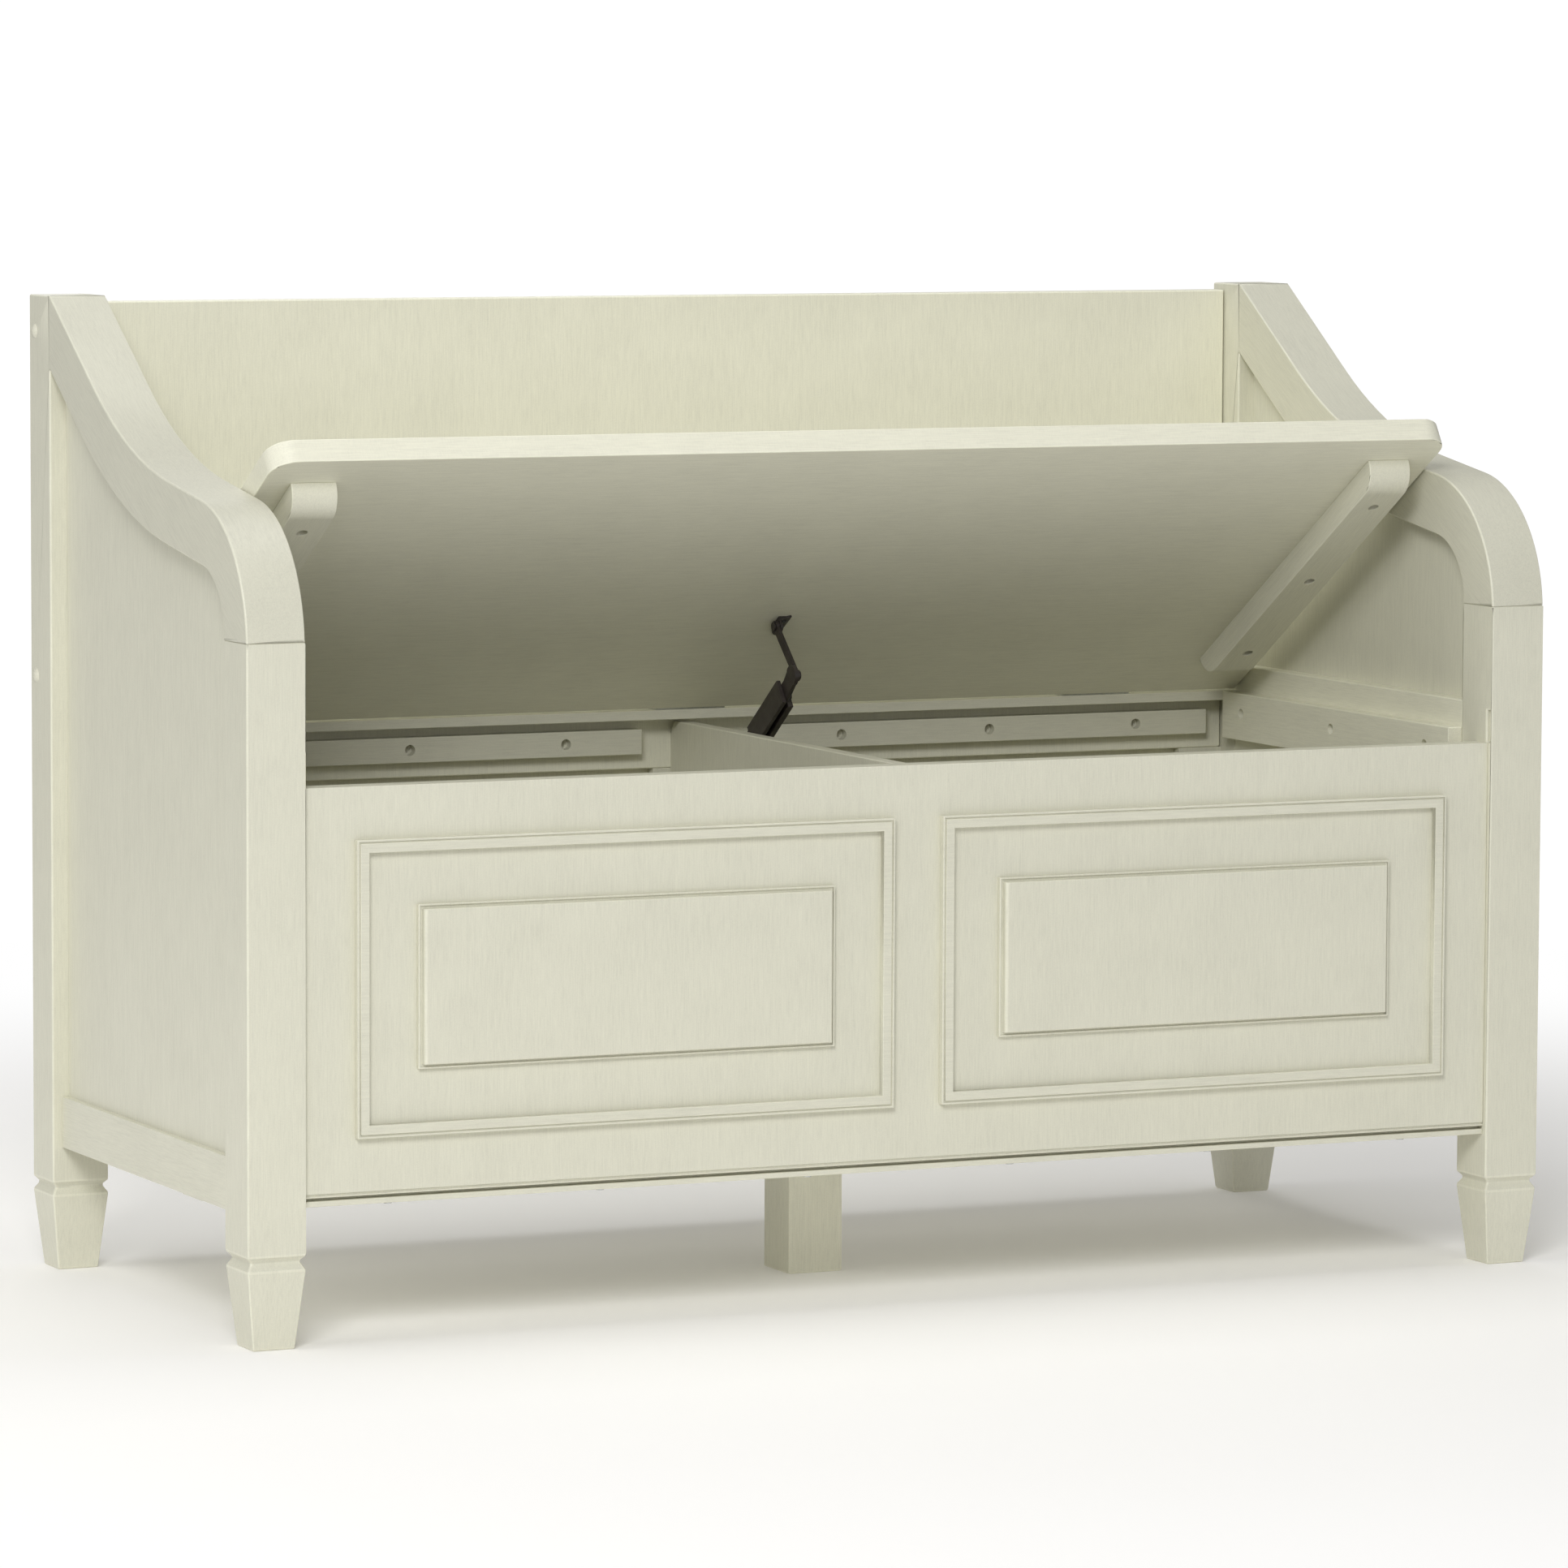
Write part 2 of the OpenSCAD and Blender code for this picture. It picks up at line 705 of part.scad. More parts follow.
// Knuckles of one leaf: first = 0 for the seat's three, 1 for the lid's two
module knuckle_row(first, shorten, d)
    for (i = [first:2:knuckles - 1])
        translate([-hinge_w / 2 + (i + 0.5) * knuckle_l, hinge_y, hinge_z]) rotate([0, 90, 0])
            cylinder(d = d, h = knuckle_l - shorten, center = true);

module seat_leaf()
    difference() {
        union() {
            block([-hinge_w / 2, hinge_w / 2], [hinge_y + knuckle_r + play, hinge_y + leaf_l],
                [seat_z, seat_z + leaf_t]);
            for (i = [0:2:knuckles - 1])
                block([-hinge_w / 2 + i * knuckle_l, -hinge_w / 2 + (i + 1) * knuckle_l],
                    [hinge_y, hinge_y + knuckle_r + 2 * play], [seat_z, seat_z + leaf_t]);
            knuckle_row(0, 0, 2 * knuckle_r);
        }
        rod_x([0, hinge_y, hinge_z], pin_d, 2 * hinge_w);
    }

module lid_leaf()
    difference() {
        union() {
            block([-hinge_w / 2, hinge_w / 2], [lid_rear, lid_rear + leaf_t],
                [hinge_z + knuckle_r + play, hinge_z + leaf_l - 2]);
            for (i = [1:2:knuckles - 1])
                block([-hinge_w / 2 + i * knuckle_l + play, -hinge_w / 2 + (i + 1) * knuckle_l - play],
                    [lid_rear, lid_rear + leaf_t], [hinge_z, hinge_z + knuckle_r + 2 * play]);
            knuckle_row(1, 2 * play, 2 * knuckle_r);
        }
        rod_x([0, hinge_y, hinge_z], pin_d + 2 * running, 2 * hinge_w);
    }

module hinge_seat_leaves() color(steel)
    difference() {
        for (x = hinge_x) translate([x, 0, 0]) seat_leaf();
        at_seat_leaf_screws() screw_bore(0, leaf_screw_d, leaf_screw_d, leaf_t + seat_leaf_bite);
    }

module hinge_pins() color(steel)
    for (x = hinge_x) rod_x([x, hinge_y, hinge_z], pin_d, hinge_w);

module hinge_seat_screws() color(steel) at_seat_leaf_screws()
    screw(-leaf_head_t, leaf_head_d, leaf_head_t, leaf_screw_d, leaf_t + seat_leaf_bite);

// ---- lid, drawn closed and turned to its stored angle ----

module lid_pose()
    translate([0, hinge_y, hinge_z]) rotate([-lid_open, 0, 0]) translate([0, -hinge_y, -hinge_z])
        children();

module lid_outline() {
    translate([-lid_x, lid_front + lid_corner]) square([2 * lid_x, lid_l - lid_corner]);
    translate([-lid_x + lid_corner, lid_front]) square([2 * (lid_x - lid_corner), lid_l]);
    for (s = [-1, 1]) translate([s * (lid_x - lid_corner), lid_front + lid_corner]) circle(lid_corner);
}

module lid_board() color(paint) lid_pose()
    difference() {
        translate([0, 0, seat_z]) linear_extrude(lid_t) lid_outline();
        both_sides() at_batten_screws() batten_bore();
        at_lid_leaf_screws() screw_bore(0, leaf_screw_d, leaf_screw_d, leaf_t + lid_leaf_bite);
        at_bracket_screws() screw_bore(0, leaf_screw_d, leaf_screw_d, bracket_t + bracket_bite);
    }

batten_recess = 13;
module batten_bore()
    screw_bore(batten_recess, recess_d, screw_d, batten_t - batten_recess + batten_screw_bite);

module batten_outline() {
    low = seat_z - batten_t;
    front = lid_rear - batten_s[1];
    rear = lid_rear - batten_s[0];
    translate([front + batten_t, low]) square([rear - front - 2 * batten_t, batten_t]);
    intersection() {
        translate([front, low]) square([rear - front, batten_t]);
        for (y = [front + batten_t, rear - batten_t]) translate([y, seat_z]) circle(batten_t);
    }
}

module lid_batten()
    difference() {
        slab([batten_x - batten_w / 2, batten_x + batten_w / 2]) batten_outline();
        at_batten_screws() batten_bore();
    }

module left_lid_batten() color(paint) lid_pose() on_side(true) lid_batten();
module right_lid_batten() color(paint) lid_pose() on_side(false) lid_batten();

module batten_screws() color(steel) lid_pose() both_sides() at_batten_screws()
    screw(batten_recess - screw_head_t, screw_head_d, screw_head_t, screw_d,
        batten_t - batten_recess + batten_screw_bite);

module hinge_lid_leaves() color(steel) lid_pose()
    difference() {
        for (x = hinge_x) translate([x, 0, 0]) lid_leaf();
        at_lid_leaf_screws() screw_bore(0, leaf_screw_d, leaf_screw_d, leaf_t + lid_leaf_bite);
    }

module hinge_lid_screws() color(steel) lid_pose() at_lid_leaf_screws()
    screw(-leaf_head_t, leaf_head_d, leaf_head_t, leaf_screw_d, leaf_t + lid_leaf_bite);

// ---- lid stay ----

bracket_t = 1.6;
bracket_x = [18, 27.6];
bracket_span = [121.5, 152];
bracket_mid = (bracket_span[0] + bracket_span[1]) / 2;
bracket_half = bracket_span[1] - bracket_mid;
bracket_screw_x = 23.8;
bracket_screw_s = [129.5, 144];
ear_r = 5;

module at_bracket_screws()
    for (s = bracket_screw_s)
        translate([bracket_screw_x, lid_rear - s, seat_z - bracket_t]) rotate([180, 0, 0]) children();

// A half-oval plate under the lid, and beside it an ear that carries the link
module stay_lid_bracket() color(black) lid_pose()
    difference() {
        union() {
            intersection() {
                block(bracket_x, [lid_rear - bracket_span[1], lid_rear - bracket_span[0]],
                    [seat_z - bracket_t, seat_z]);
                translate([bracket_x[1], lid_rear - bracket_mid, seat_z - bracket_t])
                    scale([(bracket_x[1] - bracket_x[0]) / bracket_half, 1, 1])
                        cylinder(r = bracket_half, h = bracket_t);
            }
            block([ear_x[0], bracket_screw_x], [bracket_closed[0] - ear_r, bracket_closed[0] + ear_r],
                [seat_z - bracket_t, seat_z]);
            slab(ear_x) {
                translate(bracket_closed) circle(ear_r);
                translate([bracket_closed[0] - ear_r, bracket_closed[1]]) square([2 * ear_r, bracket_drop]);
            }
        }
        pin_x(bracket_closed, pivot_d, [0, 40]);
        at_bracket_screws() screw_bore(0, leaf_screw_d, leaf_screw_d, bracket_t + bracket_bite);
    }

module bracket_screws() color(steel) lid_pose() at_bracket_screws()
    screw(-leaf_head_t, leaf_head_d, leaf_head_t, leaf_screw_d, bracket_t + bracket_bite);

module bracket_pin() color(black) lid_pose() {
    pin_x(bracket_closed, pivot_d, [link_x[0] - 0.2, ear_x[1]]);
    pin_x(bracket_closed, 7, [ear_x[1], ear_x[1] + 1]);
    pin_x(bracket_closed, 7, [link_x[0] - 1.2, link_x[0] - 0.2]);
}

// The channel arm: a deep strip, slotted from its front and lower edges
slot_full = 40;
slot_end = 58;
web = 6;
// The cheek on the link's side stops short, so that the link passes its end
cheek_cut = 6.5;

pivot_boss_d = 19;

module stay_channel() color(black)
    difference() {
        union() {
            slab(channel_x) polygon([stay_at(0, 0), stay_at(channel_l, 0),
                stay_at(channel_l, channel_h), stay_at(0, channel_h)]);
            pin_x(stay_pivot, pivot_boss_d, channel_x);
        }
        slab(slot_x) polygon([stay_at(-5, -5), stay_at(slot_full, -5), stay_at(slot_full, web),
            stay_at(slot_end, web), stay_at(slot_end, channel_h + 5), stay_at(-5, channel_h + 5)]);
        slab([slot_x[1] - 1, channel_x[1] + 1]) polygon([stay_at(-5, -5), stay_at(cheek_cut, -5),
            stay_at(cheek_cut, channel_h + 5), stay_at(-5, channel_h + 5)]);
        pin_x(stay_pivot, pivot_d + 2 * running, [0, 30]);
        for (p = stay_rivet_at) pin_x(p, rivet_d, [0, 30]);
    }

// The inner arm fills the slot and runs on to the elbow, where it widens to a round lobe
lobe_side = 0.97 * elbow_r * [sin(stay_slope), cos(stay_slope)];
module stay_inner_arm() color(black)
    difference() {
        union() {
            slab(arm_x) polygon([stay_at(slot_full - 1, 3), stay_at(slot_full - 1, web + 1),
                stay_at(slot_end - 2, web + 1), stay_at(slot_end - 2, 15), stay_at(-4, 17),
                stay_elbow - lobe_side, stay_elbow + lobe_side, stay_at(-4, 3)]);
            pin_x(stay_elbow, 2 * elbow_r, arm_x);
        }
        for (p = stay_rivet_at) pin_x(p, rivet_d, [0, 30]);
    }

module stay_rivets() color(black)
    for (p = stay_rivet_at) {
        pin_x(p, rivet_d, channel_x);
        pin_x(p, 5, [channel_x[1], channel_x[1] + 0.8]);
    }

link_w = 6.8;
link_eye_d = 9;
link_dir = (bracket_open - stay_elbow) / norm(bracket_open - stay_elbow);
link_side = [-link_dir[1], link_dir[0]] * link_w / 2;

module stay_link() color(black)
    difference() {
        union() {
            slab(link_x) {
                translate(stay_elbow) circle(d = link_eye_d);
                translate(bracket_open) circle(d = link_eye_d);
                polygon([stay_elbow - link_side, bracket_open - link_side,
                    bracket_open + link_side, stay_elbow + link_side]);
            }
            pin_x(stay_elbow, 7, [link_x[1], link_x[1] + 1]);
        }
        pin_x(bracket_open, pivot_d + 2 * running, [0, 30]);
    }

module stay_pivot_pin() color(steel) {
    pin_x(stay_pivot, pivot_d, [-3, channel_x[1] + 0.2]);
    pin_x(stay_pivot, 8, [channel_x[1] + 0.2, channel_x[1] + 1.4]);
}

module stay_washer() color(steel)
    difference() {
        pin_x(stay_pivot, 10, [board_t / 2, channel_x[0]]);
        pin_x(stay_pivot, pivot_d, [0, 30]);
    }

left_front_post();
right_front_post();
left_rear_post();
right_rear_post();
left_arm_rail();
right_arm_rail();
left_side_panel();
right_side_panel();
left_bottom_rail();
right_bottom_rail();
left_seat_rail();
right_seat_rail();
left_side_cleat();
right_side_cleat();
front_panel();
left_moulding();
right_moulding();
left_raised_plate();
right_raised_plate();
bottom_panel();
centre_bearer();
centre_leg();
divider();
rear_bottom_rail();
back_stiles();
lower_back_board();
upper_back_panel();
left_rear_cleat();
right_rear_cleat();
hinge_strip();
arm_dowels();
side_rail_dowels();
cross_dowels();
divider_dowels();
leg_dowel();
back_bolts();
screw_caps();
cleat_screws();
back_board_screws();
bottom_screws();
hinge_seat_leaves();
hinge_pins();
hinge_seat_screws();
lid_board();
left_lid_batten();
right_lid_batten();
batten_screws();
hinge_lid_leaves();
hinge_lid_screws();
stay_lid_bracket();
bracket_screws();
bracket_pin();
stay_channel();
stay_inner_arm();
stay_rivets();
stay_link();
stay_pivot_pin();
stay_washer();
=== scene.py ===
"""Looks of the storage bench: satin off-white painted wood with fine brush streaks, softened arrises,
a black lid stay, zinc hinges, a pale floor, soft studio light and the camera. The screws that sit deep
in the cleats and battens are painted over."""

import math

import bpy
from mathutils import Matrix, Vector


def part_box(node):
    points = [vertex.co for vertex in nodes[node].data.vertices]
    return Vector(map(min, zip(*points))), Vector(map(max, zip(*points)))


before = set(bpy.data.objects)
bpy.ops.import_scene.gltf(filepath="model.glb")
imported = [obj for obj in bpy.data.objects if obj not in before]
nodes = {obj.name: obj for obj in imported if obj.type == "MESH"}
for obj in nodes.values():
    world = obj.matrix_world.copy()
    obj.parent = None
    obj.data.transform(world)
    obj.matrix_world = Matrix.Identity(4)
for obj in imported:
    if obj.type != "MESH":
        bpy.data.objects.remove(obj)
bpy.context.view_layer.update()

MM = 0.001
X, Y, Z = Vector((1, 0, 0)), Vector((0, 1, 0)), Vector((0, 0, 1))


# ---- node graphs ----

class Graph:
    """A node tree with short calls: a number sets a socket, and a socket is linked to it."""

    def __init__(self, tree):
        self.tree = tree
        tree.nodes.clear()

    def node(self, kind, inputs=(), **settings):
        made = self.tree.nodes.new(kind)
        for name, value in settings.items():
            setattr(made, name, value)
        for key, value in dict(inputs).items():
            if isinstance(value, bpy.types.NodeSocket):
                self.tree.links.new(value, made.inputs[key])
            else:
                made.inputs[key].default_value = value
        return made

    def math(self, operation, *values):
        return self.node("ShaderNodeMath", enumerate(values), operation=operation).outputs[0]

    def vector(self, operation, *values):
        return self.node("ShaderNodeVectorMath", enumerate(values), operation=operation)

    def noise(self, place, size, detail=2.0, roughness=0.5):
        """Noise with features about this big, in metres, from 0 to 1 around 0.5."""
        inputs = {"Vector": place, "Scale": 1 / size, "Detail": detail, "Roughness": roughness}
        return self.node("ShaderNodeTexNoise", inputs).outputs["Fac"]

    def streaks(self, place, along, width, length):
        """Noise drawn out along a direction: this wide across it and this long down it."""
        far = self.vector("DOT_PRODUCT", place, tuple(along)).outputs["Value"]
        pull = self.node("ShaderNodeVectorMath", {0: tuple(along)}, operation="SCALE")
        self.tree.links.new(self.math("MULTIPLY", far, width / length - 1), pull.inputs["Scale"])
        drawn = self.vector("ADD", place, pull.outputs[0]).outputs[0]
        return self.noise(drawn, width)

    def weigh(self, parts):
        """0.5 plus each noise's swing times its weight."""
        total = 0.5
        for value, weight in parts:
            total = self.math("MULTIPLY_ADD", self.math("SUBTRACT", value, 0.5), weight, total)
        return total

    def ramp(self, value, stops):
        """A colour from a value, by stops of (position, colour)."""
        made = self.node("ShaderNodeValToRGB", {"Fac": value})
        elements = made.color_ramp.elements
        while len(elements) < len(stops):
            elements.new(0.5)
        for element, (position, colour) in zip(elements, stops):
            element.position = position
            element.color = (*colour, 1)
        return made.outputs["Color"]

    def bump(self, height, depth, strength=1.0):
        inputs = {"Height": height, "Distance": depth, "Strength": strength}
        return self.node("ShaderNodeBump", inputs).outputs["Normal"]

    def range(self, value, low, high):
        inputs = {"Value": value, "To Min": low, "To Max": high}
        return self.node("ShaderNodeMapRange", inputs).outputs["Result"]


def new_material(name):
    material = bpy.data.materials.new(name)
    material.use_nodes = True
    graph = Graph(material.node_tree)
    place = graph.node("ShaderNodeTexCoord").outputs["Object"]
    return material, graph, place


def surface(graph, **inputs):
    shader = graph.node("ShaderNodeBsdfPrincipled", {k.replace("_", " "): v for k, v in inputs.items()})
    graph.node("ShaderNodeOutputMaterial", {"Surface": shader.outputs[0]})


def tint(colour, factor):
    return tuple(c * factor for c in colour)


# ---- materials ----

PAINT = (0.688, 0.677, 0.558)


def painted_wood(name, grain, lift=1.0):
    """Satin paint: fine streaks down the grain, a fainter weave across it, and soft blotches."""
    material, graph, place = new_material(name)
    grain = grain.normalized()
    across = grain.cross(X if abs(grain.x) < 0.5 else Z).normalized()
    side = grain.cross(across)
    fine = graph.streaks(place, grain, 0.9 * MM, 16 * MM)
    broad = graph.streaks(place, grain, 3 * MM, 90 * MM)
    weave = graph.streaks(place, (across + side).normalized(), 0.9 * MM, 7 * MM)
    blotch = graph.noise(place, 45 * MM, 3)
    shade = graph.weigh([(fine, 0.55), (broad, 0.2), (weave, 0.3), (blotch, 0.25)])
    # The lift scales the whole paint: above 1 it is painted light, below 1 painted shade.
    colour = graph.ramp(shade, [(0.0, tint(PAINT, 0.80 * lift)), (0.5, tint(PAINT, lift)),
                                (1.0, tint(PAINT, 1.16 * lift))])
    relief = graph.weigh([(fine, 0.8), (broad, 0.3), (weave, 0.4)])
    surface(graph, Base_Color=colour, Roughness=graph.range(shade, 0.5, 0.36),
            Normal=graph.bump(relief, 0.04 * MM))
    return material


def bare_beech(name):
    material, graph, place = new_material(name)
    flecks = graph.streaks(place, Y, 1.2 * MM, 14 * MM)
    bands = graph.streaks(place, Y, 5 * MM, 60 * MM)
    shade = graph.weigh([(flecks, 1.0), (bands, 1.2)])
    colour = graph.ramp(shade, [(0.2, (0.43, 0.25, 0.12)), (0.8, (0.62, 0.42, 0.24))])
    surface(graph, Base_Color=colour, Roughness=graph.range(shade, 0.6, 0.5),
            Normal=graph.bump(flecks, 0.1 * MM))
    return material


def black_paint(name):
    """Powder coat on steel: nearly black, with a fine orange peel and rubbed high spots."""
    material, graph, place = new_material(name)
    peel = graph.noise(place, 0.7 * MM, 2)
    rub = graph.noise(place, 12 * MM, 4, 0.65)
    colour = graph.ramp(graph.weigh([(rub, 1.0), (peel, 0.4)]),
                        [(0.3, (0.018, 0.014, 0.012)), (0.8, (0.042, 0.034, 0.030))])
    surface(graph, Base_Color=colour, Roughness=graph.range(rub, 0.5, 0.34),
            Normal=graph.bump(peel, 0.08 * MM, 0.7))
    return material


def zinc(name, lift=1.0):
    """Zinc plate with faint spangle and turning marks; a low lift darkens the whole plate."""
    material, graph, place = new_material(name)
    spangle = graph.noise(place, 3 * MM, 3, 0.6)
    marks = graph.streaks(place, X, 0.25 * MM, 5 * MM)
    shade = graph.weigh([(spangle, 0.9), (marks, 0.4)])
    colour = graph.ramp(shade, [(0.2, tint((0.50, 0.51, 0.52), lift)),
                                (0.8, tint((0.74, 0.74, 0.72), lift))])
    surface(graph, Base_Color=colour, Metallic=1.0, Roughness=graph.range(shade, 0.42, 0.26),
            Normal=graph.bump(marks, 0.03 * MM, 0.6))
    return material


# ---- arrises ----

SHARP = math.radians(28)
IN_PLANE = 0.04 * MM
BORE_CHORD = 1.4 * MM  # the edges round a screw or dowel hole are shorter than this, and stay as they are
SHADOW_LINE = 0.7 * MM  # height of the fine groove between a front post and its arm


def arris_tree(name, planes, default):
    """Geometry nodes that weld the imported mesh and weigh its outer edges for the Bevel modifier.

    An edge that lies in one of the planes (axis, place, weight) takes that plane's weight, and any other
    outer edge takes the default. Edges that aren't rounded stay crisp."""
    tree = bpy.data.node_groups.new(name, "GeometryNodeTree")
    for way in ("INPUT", "OUTPUT"):
        tree.interface.new_socket("Geometry", in_out=way, socket_type="NodeSocketGeometry")
    graph = Graph(tree)
    source = graph.node("NodeGroupInput").outputs[0]
    welded = graph.node("GeometryNodeMergeByDistance", {"Geometry": source, "Distance": 0.004 * MM})
    angle = graph.node("GeometryNodeInputMeshEdgeAngle")
    outer = graph.math("GREATER_THAN", angle.outputs["Signed Angle"], SHARP)
    folded = graph.math("GREATER_THAN", angle.outputs["Unsigned Angle"], SHARP)
    length = graph.node("GeometryNodeInputMeshEdgeVertices")
    span = graph.vector("DISTANCE", length.outputs["Position 1"], length.outputs["Position 2"])
    long = graph.math("GREATER_THAN", span.outputs["Value"], BORE_CHORD)
    middle = graph.node("ShaderNodeSeparateXYZ", {0: graph.node("GeometryNodeInputPosition").outputs[0]})
    weight = graph.math("MULTIPLY", long, default)
    for axis, place, own in planes:
        off = graph.math("ABSOLUTE", graph.math("SUBTRACT", middle.outputs[axis], place))
        near = graph.math("LESS_THAN", off, IN_PLANE)
        weight = graph.node("GeometryNodeSwitch", {"Switch": near, "False": weight, "True": own},
                            input_type="FLOAT").outputs[0]
    rounded = graph.math("MULTIPLY", outer, weight)
    crisp = graph.math("MULTIPLY", folded, graph.math("LESS_THAN", rounded, 0.01))
    stored = graph.node("GeometryNodeStoreNamedAttribute",
                        {"Geometry": welded.outputs[0], "Name": "bevel_weight_edge", "Value": rounded},
                        data_type="FLOAT", domain="EDGE")
    plain = graph.node("GeometryNodeRemoveAttribute",
                       {"Geometry": stored.outputs[0], "Name": "custom_normal"})
    smooth = plain.outputs[0]
    for domain, chosen, value in (("FACE", True, True), ("EDGE", True, True), ("EDGE", crisp, False)):
        smooth = graph.node("GeometryNodeSetShadeSmooth",
                            {0: smooth, "Selection": chosen, "Shade Smooth": value},
                            domain=domain).outputs[0]
    graph.node("NodeGroupOutput", {0: smooth})
    return tree


def soften(name, width, planes=(), default=1.0, segments=3):
    """Rounds a CAD node's outer edges to this width, in millimetres."""
    obj = nodes[name]
    obj.modifiers.new("edges", "NODES").node_group = arris_tree("edges_" + name, planes, default)
    bevel = obj.modifiers.new("arris", "BEVEL")
    bevel.limit_method = "WEIGHT"
    bevel.width = width * MM
    bevel.segments = segments
    bevel.use_clamp_overlap = False
    bevel.face_strength_mode = "FSTR_ALL"
    # Bevel faces take the node's second paint where it has one: the lighter arris paint, a painted
    # highlight along the edges.
    bevel.material = 1 if len(obj.data.materials) > 1 else -1
    normals = obj.modifiers.new("normals", "WEIGHTED_NORMAL")
    normals.use_face_influence = True
    normals.keep_sharp = True


# ---- dressing the CAD nodes ----

def dress(name, *materials):
    slots = nodes[name].data.materials
    slots[0] = materials[0]
    for extra in materials[1:]:
        slots.append(extra)


def run_of(name, slope):
    """The direction of a sloping rail in the YZ plane, from its own box: slope 1 rises to the back."""
    low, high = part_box(name)
    return Vector((0, high.y - low.y, slope * (high.z - low.z)))


def paint_everything():
    """Painted nodes by the direction of their grain and the lift of their paint, with arrises painted
    lighter as a highlight.

    The lifts are painted light and painted shade, matched to the photograph's brightness: above 1 they
    make up for light that the studio lacks on the back boards, centre leg, lid, battens and inner rails,
    and below 1 they darken the arms, which the studio lights too brightly."""
    # Each batch: grain, lift and nodes. A lift above 1 is painted light and one below 1 is painted shade.
    batches = {
        "upright": (Z, 1.0, ["left_front_post", "right_front_post", "left_rear_post", "right_rear_post",
                             "left_side_panel", "right_side_panel", "front_panel", "left_raised_plate",
                             "right_raised_plate", "divider", "back_stiles"]),
        "back": (Z, 1.2, ["upper_back_panel", "lower_back_board", "centre_leg"]),
        "wide": (X, 1.0, ["hinge_strip", "bottom_panel", "centre_bearer", "rear_bottom_rail",
                          "left_rear_cleat", "right_rear_cleat", "left_moulding", "right_moulding",
                          "screw_caps", "cleat_screws", "batten_screws"]),
        "lid": (X, 1.18, ["lid_board"]),
        "deep": (Y, 1.0, ["left_bottom_rail", "right_bottom_rail"]),
        "inside": (Y, 1.18, ["left_seat_rail", "right_seat_rail", "left_side_cleat", "right_side_cleat"]),
        "arm": (run_of("left_arm_rail", 1), 0.95, ["left_arm_rail", "right_arm_rail"]),
        "batten": (run_of("left_lid_batten", -1), 1.05, ["left_lid_batten", "right_lid_batten"]),
    }
    for batch, (grain, lift, names) in batches.items():
        paint = painted_wood("paint_" + batch, grain, lift)
        # The arris paint is 8 % lighter than the faces: a painted highlight along the rounded edges.
        arris = painted_wood("arris_" + batch, grain, 1.08 * lift)
        for name in names:
            dress(name, paint, arris)


def finish_hardware():
    beech = bare_beech("beech")
    black = black_paint("black_paint")
    bright = zinc("zinc")
    dull = zinc("dull_zinc", 0.25)
    finishes = {
        beech: ["arm_dowels", "side_rail_dowels", "cross_dowels", "divider_dowels", "leg_dowel"],
        black: ["stay_lid_bracket", "bracket_pin", "stay_channel", "stay_inner_arm", "stay_rivets",
                "stay_link"],
        bright: ["back_bolts", "back_board_screws", "bottom_screws", "hinge_seat_leaves", "hinge_pins",
                 "hinge_seat_screws", "hinge_lid_leaves", "hinge_lid_screws", "stay_pivot_pin",
                 "stay_washer"],
        dull: ["bracket_screws"],
    }
    for material, names in finishes.items():
        for name in names:
            dress(name, material)


def soften_wood():
    """Rounded arrises, with the joints between arms and posts left crisp."""
    arm_low, arm_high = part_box("left_arm_rail")
    post_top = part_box("left_front_post")[1].z
    front_joint = (2, arm_low.z, 0.0)
    shadow_line = (2, post_top - SHADOW_LINE, 0.0)
    rear_joint = (1, arm_high.y, 0.0)
    for side in ("left", "right"):
        soften(side + "_arm_rail", 1.4, [front_joint, rear_joint])
        soften(side + "_front_post", 1.4, [front_joint, shadow_line])
        soften(side + "_rear_post", 1.4, [rear_joint])
        for part in ("bottom_rail", "seat_rail", "side_cleat", "rear_cleat"):
            soften(f"{side}_{part}", 0.8)
        soften(side + "_lid_batten", 0.7)
        soften(side + "_moulding", 0.45)
        field = (1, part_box(side + "_raised_plate")[0].y, 1.0)
        soften(side + "_raised_plate", 2.0, [field], 0.25)
    soften("lid_board", 0.9)
    soften("upper_back_panel", 1.5)
    for name in ("centre_leg", "divider"):
        soften(name, 1.2)
    for name in ("front_panel", "bottom_panel", "hinge_strip", "rear_bottom_rail", "back_stiles",
                 "centre_bearer"):
        soften(name, 0.6)


def soften_stay():
    for name in ("stay_channel", "stay_inner_arm", "stay_link", "stay_lid_bracket"):
        soften(name, 0.5, segments=2)


# ---- stage, light and camera ----

def floor():
    """A pale floor that fades to plain white away from the bench."""
    bpy.ops.mesh.primitive_circle_add(radius=2.3, vertices=96, fill_type="NGON")
    ground = bpy.context.object
    ground.name = "floor"
    material, graph, place = new_material("floor_paper")
    shade = graph.noise(place, 0.4, 3)
    colour = graph.ramp(shade, [(0.3, (0.955, 0.945, 0.925)), (0.7, (0.965, 0.955, 0.935))])
    paper = graph.node("ShaderNodeBsdfPrincipled", {
        "Base Color": colour, "Roughness": 0.9, "Specular IOR Level": 0.1,
        "Emission Color": (1.0, 0.98, 0.96, 1), "Emission Strength": 0.09})
    white = graph.node("ShaderNodeEmission", {"Color": (1, 1, 1, 1), "Strength": 1.0})
    away = graph.vector("LENGTH", place).outputs["Value"]
    fade = graph.node("ShaderNodeMapRange", {"Value": away, "From Min": 0.75, "From Max": 2.0},
                      interpolation_type="SMOOTHSTEP").outputs["Result"]
    mixed = graph.node("ShaderNodeMixShader", {0: fade, 1: paper.outputs[0], 2: white.outputs[0]})
    graph.node("ShaderNodeOutputMaterial", {"Surface": mixed.outputs[0]})
    ground.data.materials.append(material)


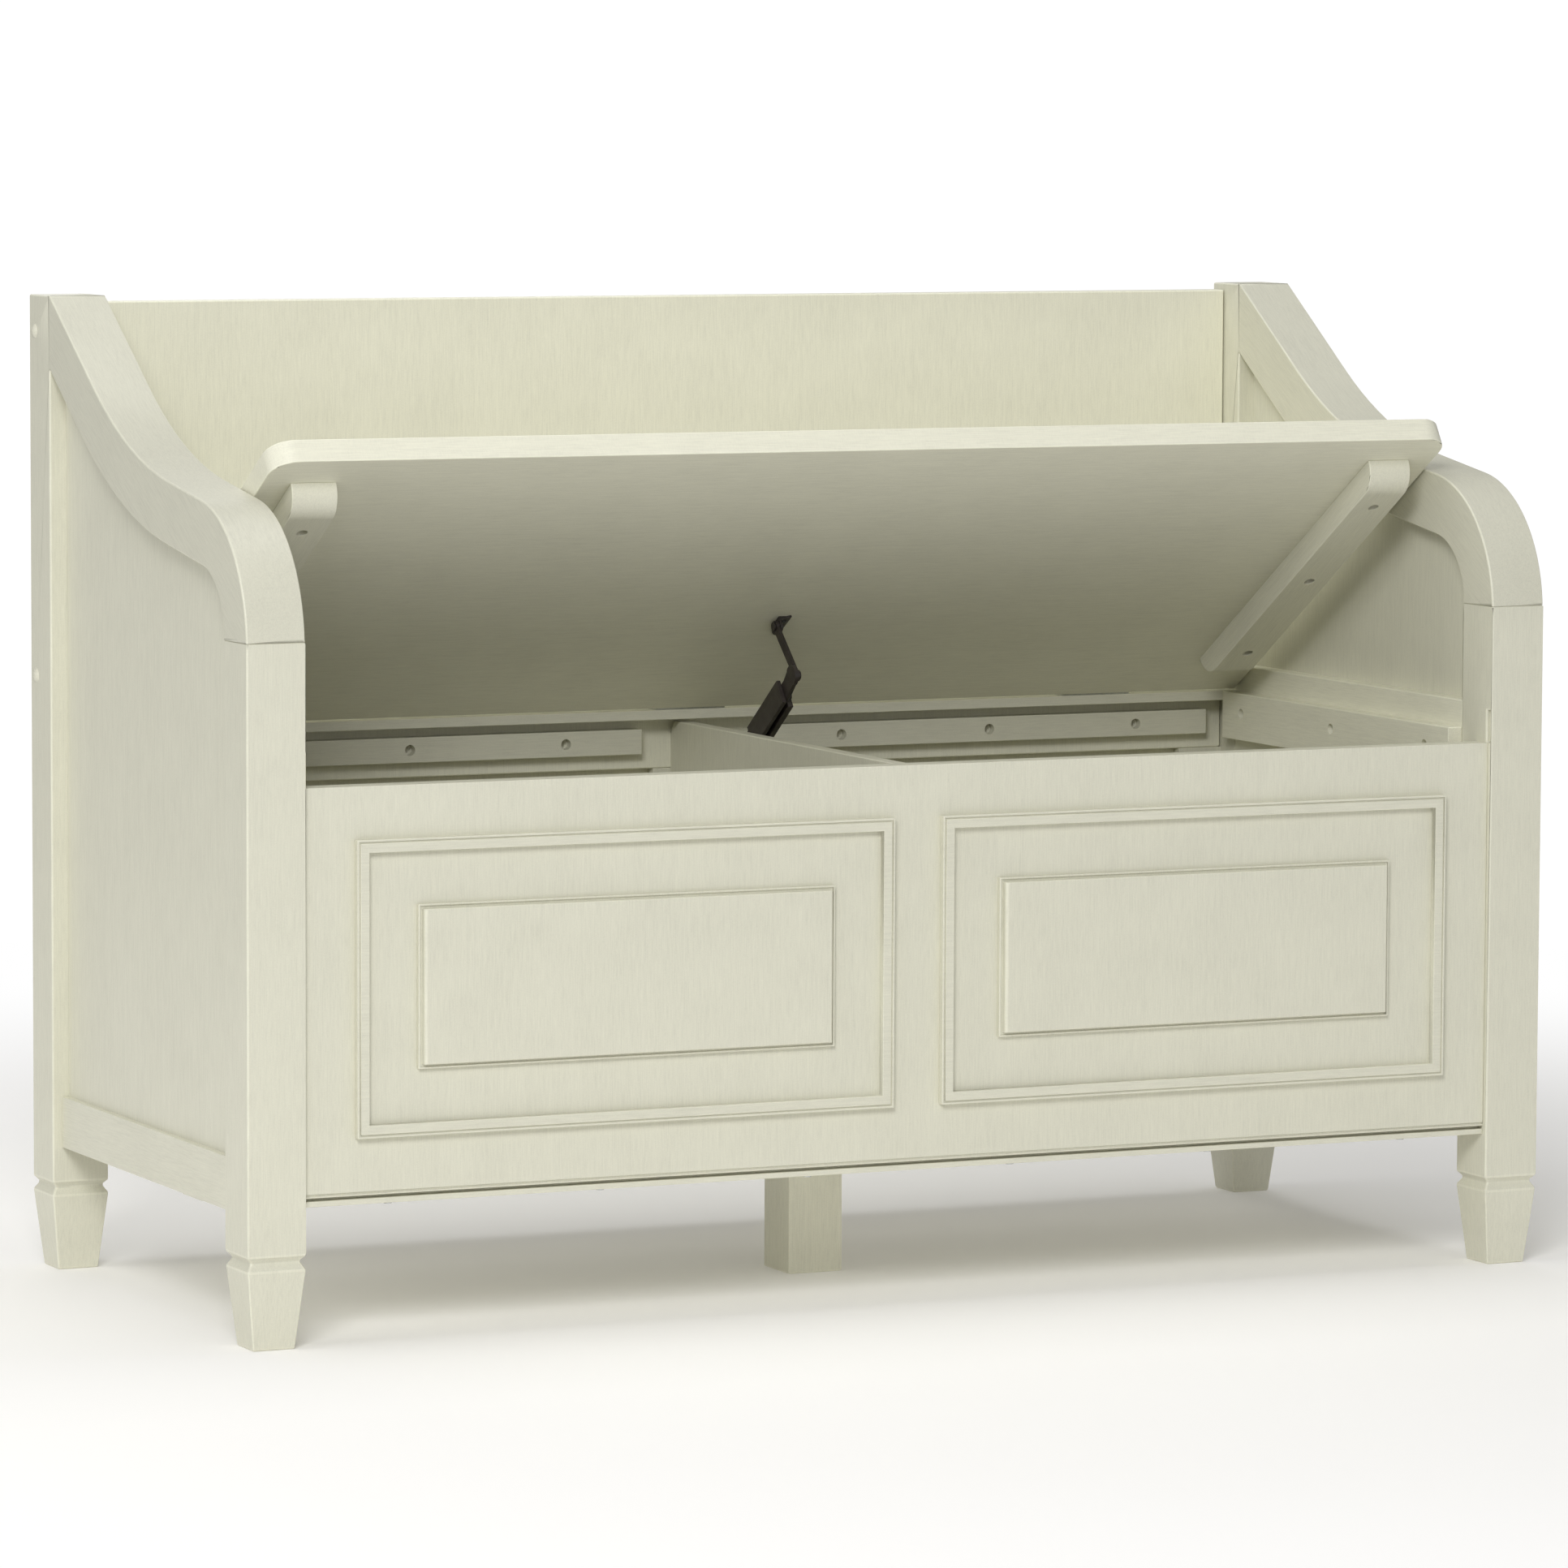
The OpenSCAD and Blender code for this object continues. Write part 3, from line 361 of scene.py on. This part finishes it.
def soft_light(name, at, aim, size, power, colour=(1, 1, 1)):
    lamp = bpy.data.lights.new(name, "AREA")
    lamp.shape = "RECTANGLE"
    lamp.size, lamp.size_y = size
    lamp.energy = power
    lamp.color = colour
    obj = bpy.data.objects.new(name, lamp)
    bpy.context.scene.collection.objects.link(obj)
    obj.location = at
    obj.rotation_mode = "QUATERNION"
    obj.rotation_quaternion = (Vector(aim) - Vector(at)).to_track_quat("-Z", "Y")


# Soft boxes: where each stands, its width and height, and its power
LIGHTS = {
    "key": ((-2.4, -3.6, 2.8), (1.6, 1.6), 124),
    "front": ((1.6, -4.5, 1.2), (2.5, 2.0), 5),
    "top": ((0, 0.2, 3.4), (3.0, 2.0), 35),
    "left": ((-4.0, 0.0, 1.4), (2.5, 2.0), 25),
    "right": ((4.0, -0.5, 1.6), (2.0, 2.0), 4),
    "low": ((0, -4.5, 0.4), (4.0, 0.6), 9),
    "rear": ((0.6, 4.2, 2.0), (2.5, 2.0), 25),
}


def studio():
    for name, (at, size, power) in LIGHTS.items():
        soft_light(name, at, (0, 0, 0.35), size, power)


def sky():
    """Even light from all round. The camera sees it as plain white."""
    world = bpy.data.worlds.new("studio")
    bpy.context.scene.world = world
    world.use_nodes = True
    graph = Graph(world.node_tree)
    light = graph.node("ShaderNodeBackground", {"Color": (1, 1, 1, 1), "Strength": 0.24})
    white = graph.node("ShaderNodeBackground", {"Color": (1, 1, 1, 1), "Strength": 1.05})
    seen = graph.node("ShaderNodeLightPath").outputs["Is Camera Ray"]
    both = graph.node("ShaderNodeMixShader", {0: seen, 1: light.outputs[0], 2: white.outputs[0]})
    graph.node("ShaderNodeOutputWorld", {"Surface": both.outputs[0]})


def camera():
    lens = bpy.data.cameras.new("camera")
    lens.lens = 179.2
    lens.sensor_width = 36
    lens.clip_end = 100
    eye = bpy.data.objects.new("camera", lens)
    bpy.context.scene.collection.objects.link(eye)
    yaw, pitch, roll = (math.radians(a) for a in (24.99, 5.40, 0.25))
    ahead = Vector((math.sin(yaw) * math.cos(pitch), math.cos(yaw) * math.cos(pitch), -math.sin(pitch)))
    right = Vector((math.cos(yaw), -math.sin(yaw), 0))
    up = right.cross(ahead)
    axis_x = right * math.cos(roll) + up * math.sin(roll)
    axis_y = up * math.cos(roll) - right * math.sin(roll)
    turn = Matrix((axis_x, axis_y, -ahead)).transposed()
    eye.matrix_world = Matrix.Translation((-2.528, -5.414, 0.937)) @ turn.to_4x4()
    bpy.context.scene.camera = eye


camera()
floor()
sky()
studio()
bpy.context.scene.view_settings.view_transform = "Standard"
paint_everything()
finish_hardware()
soften_wood()
soften_stay()
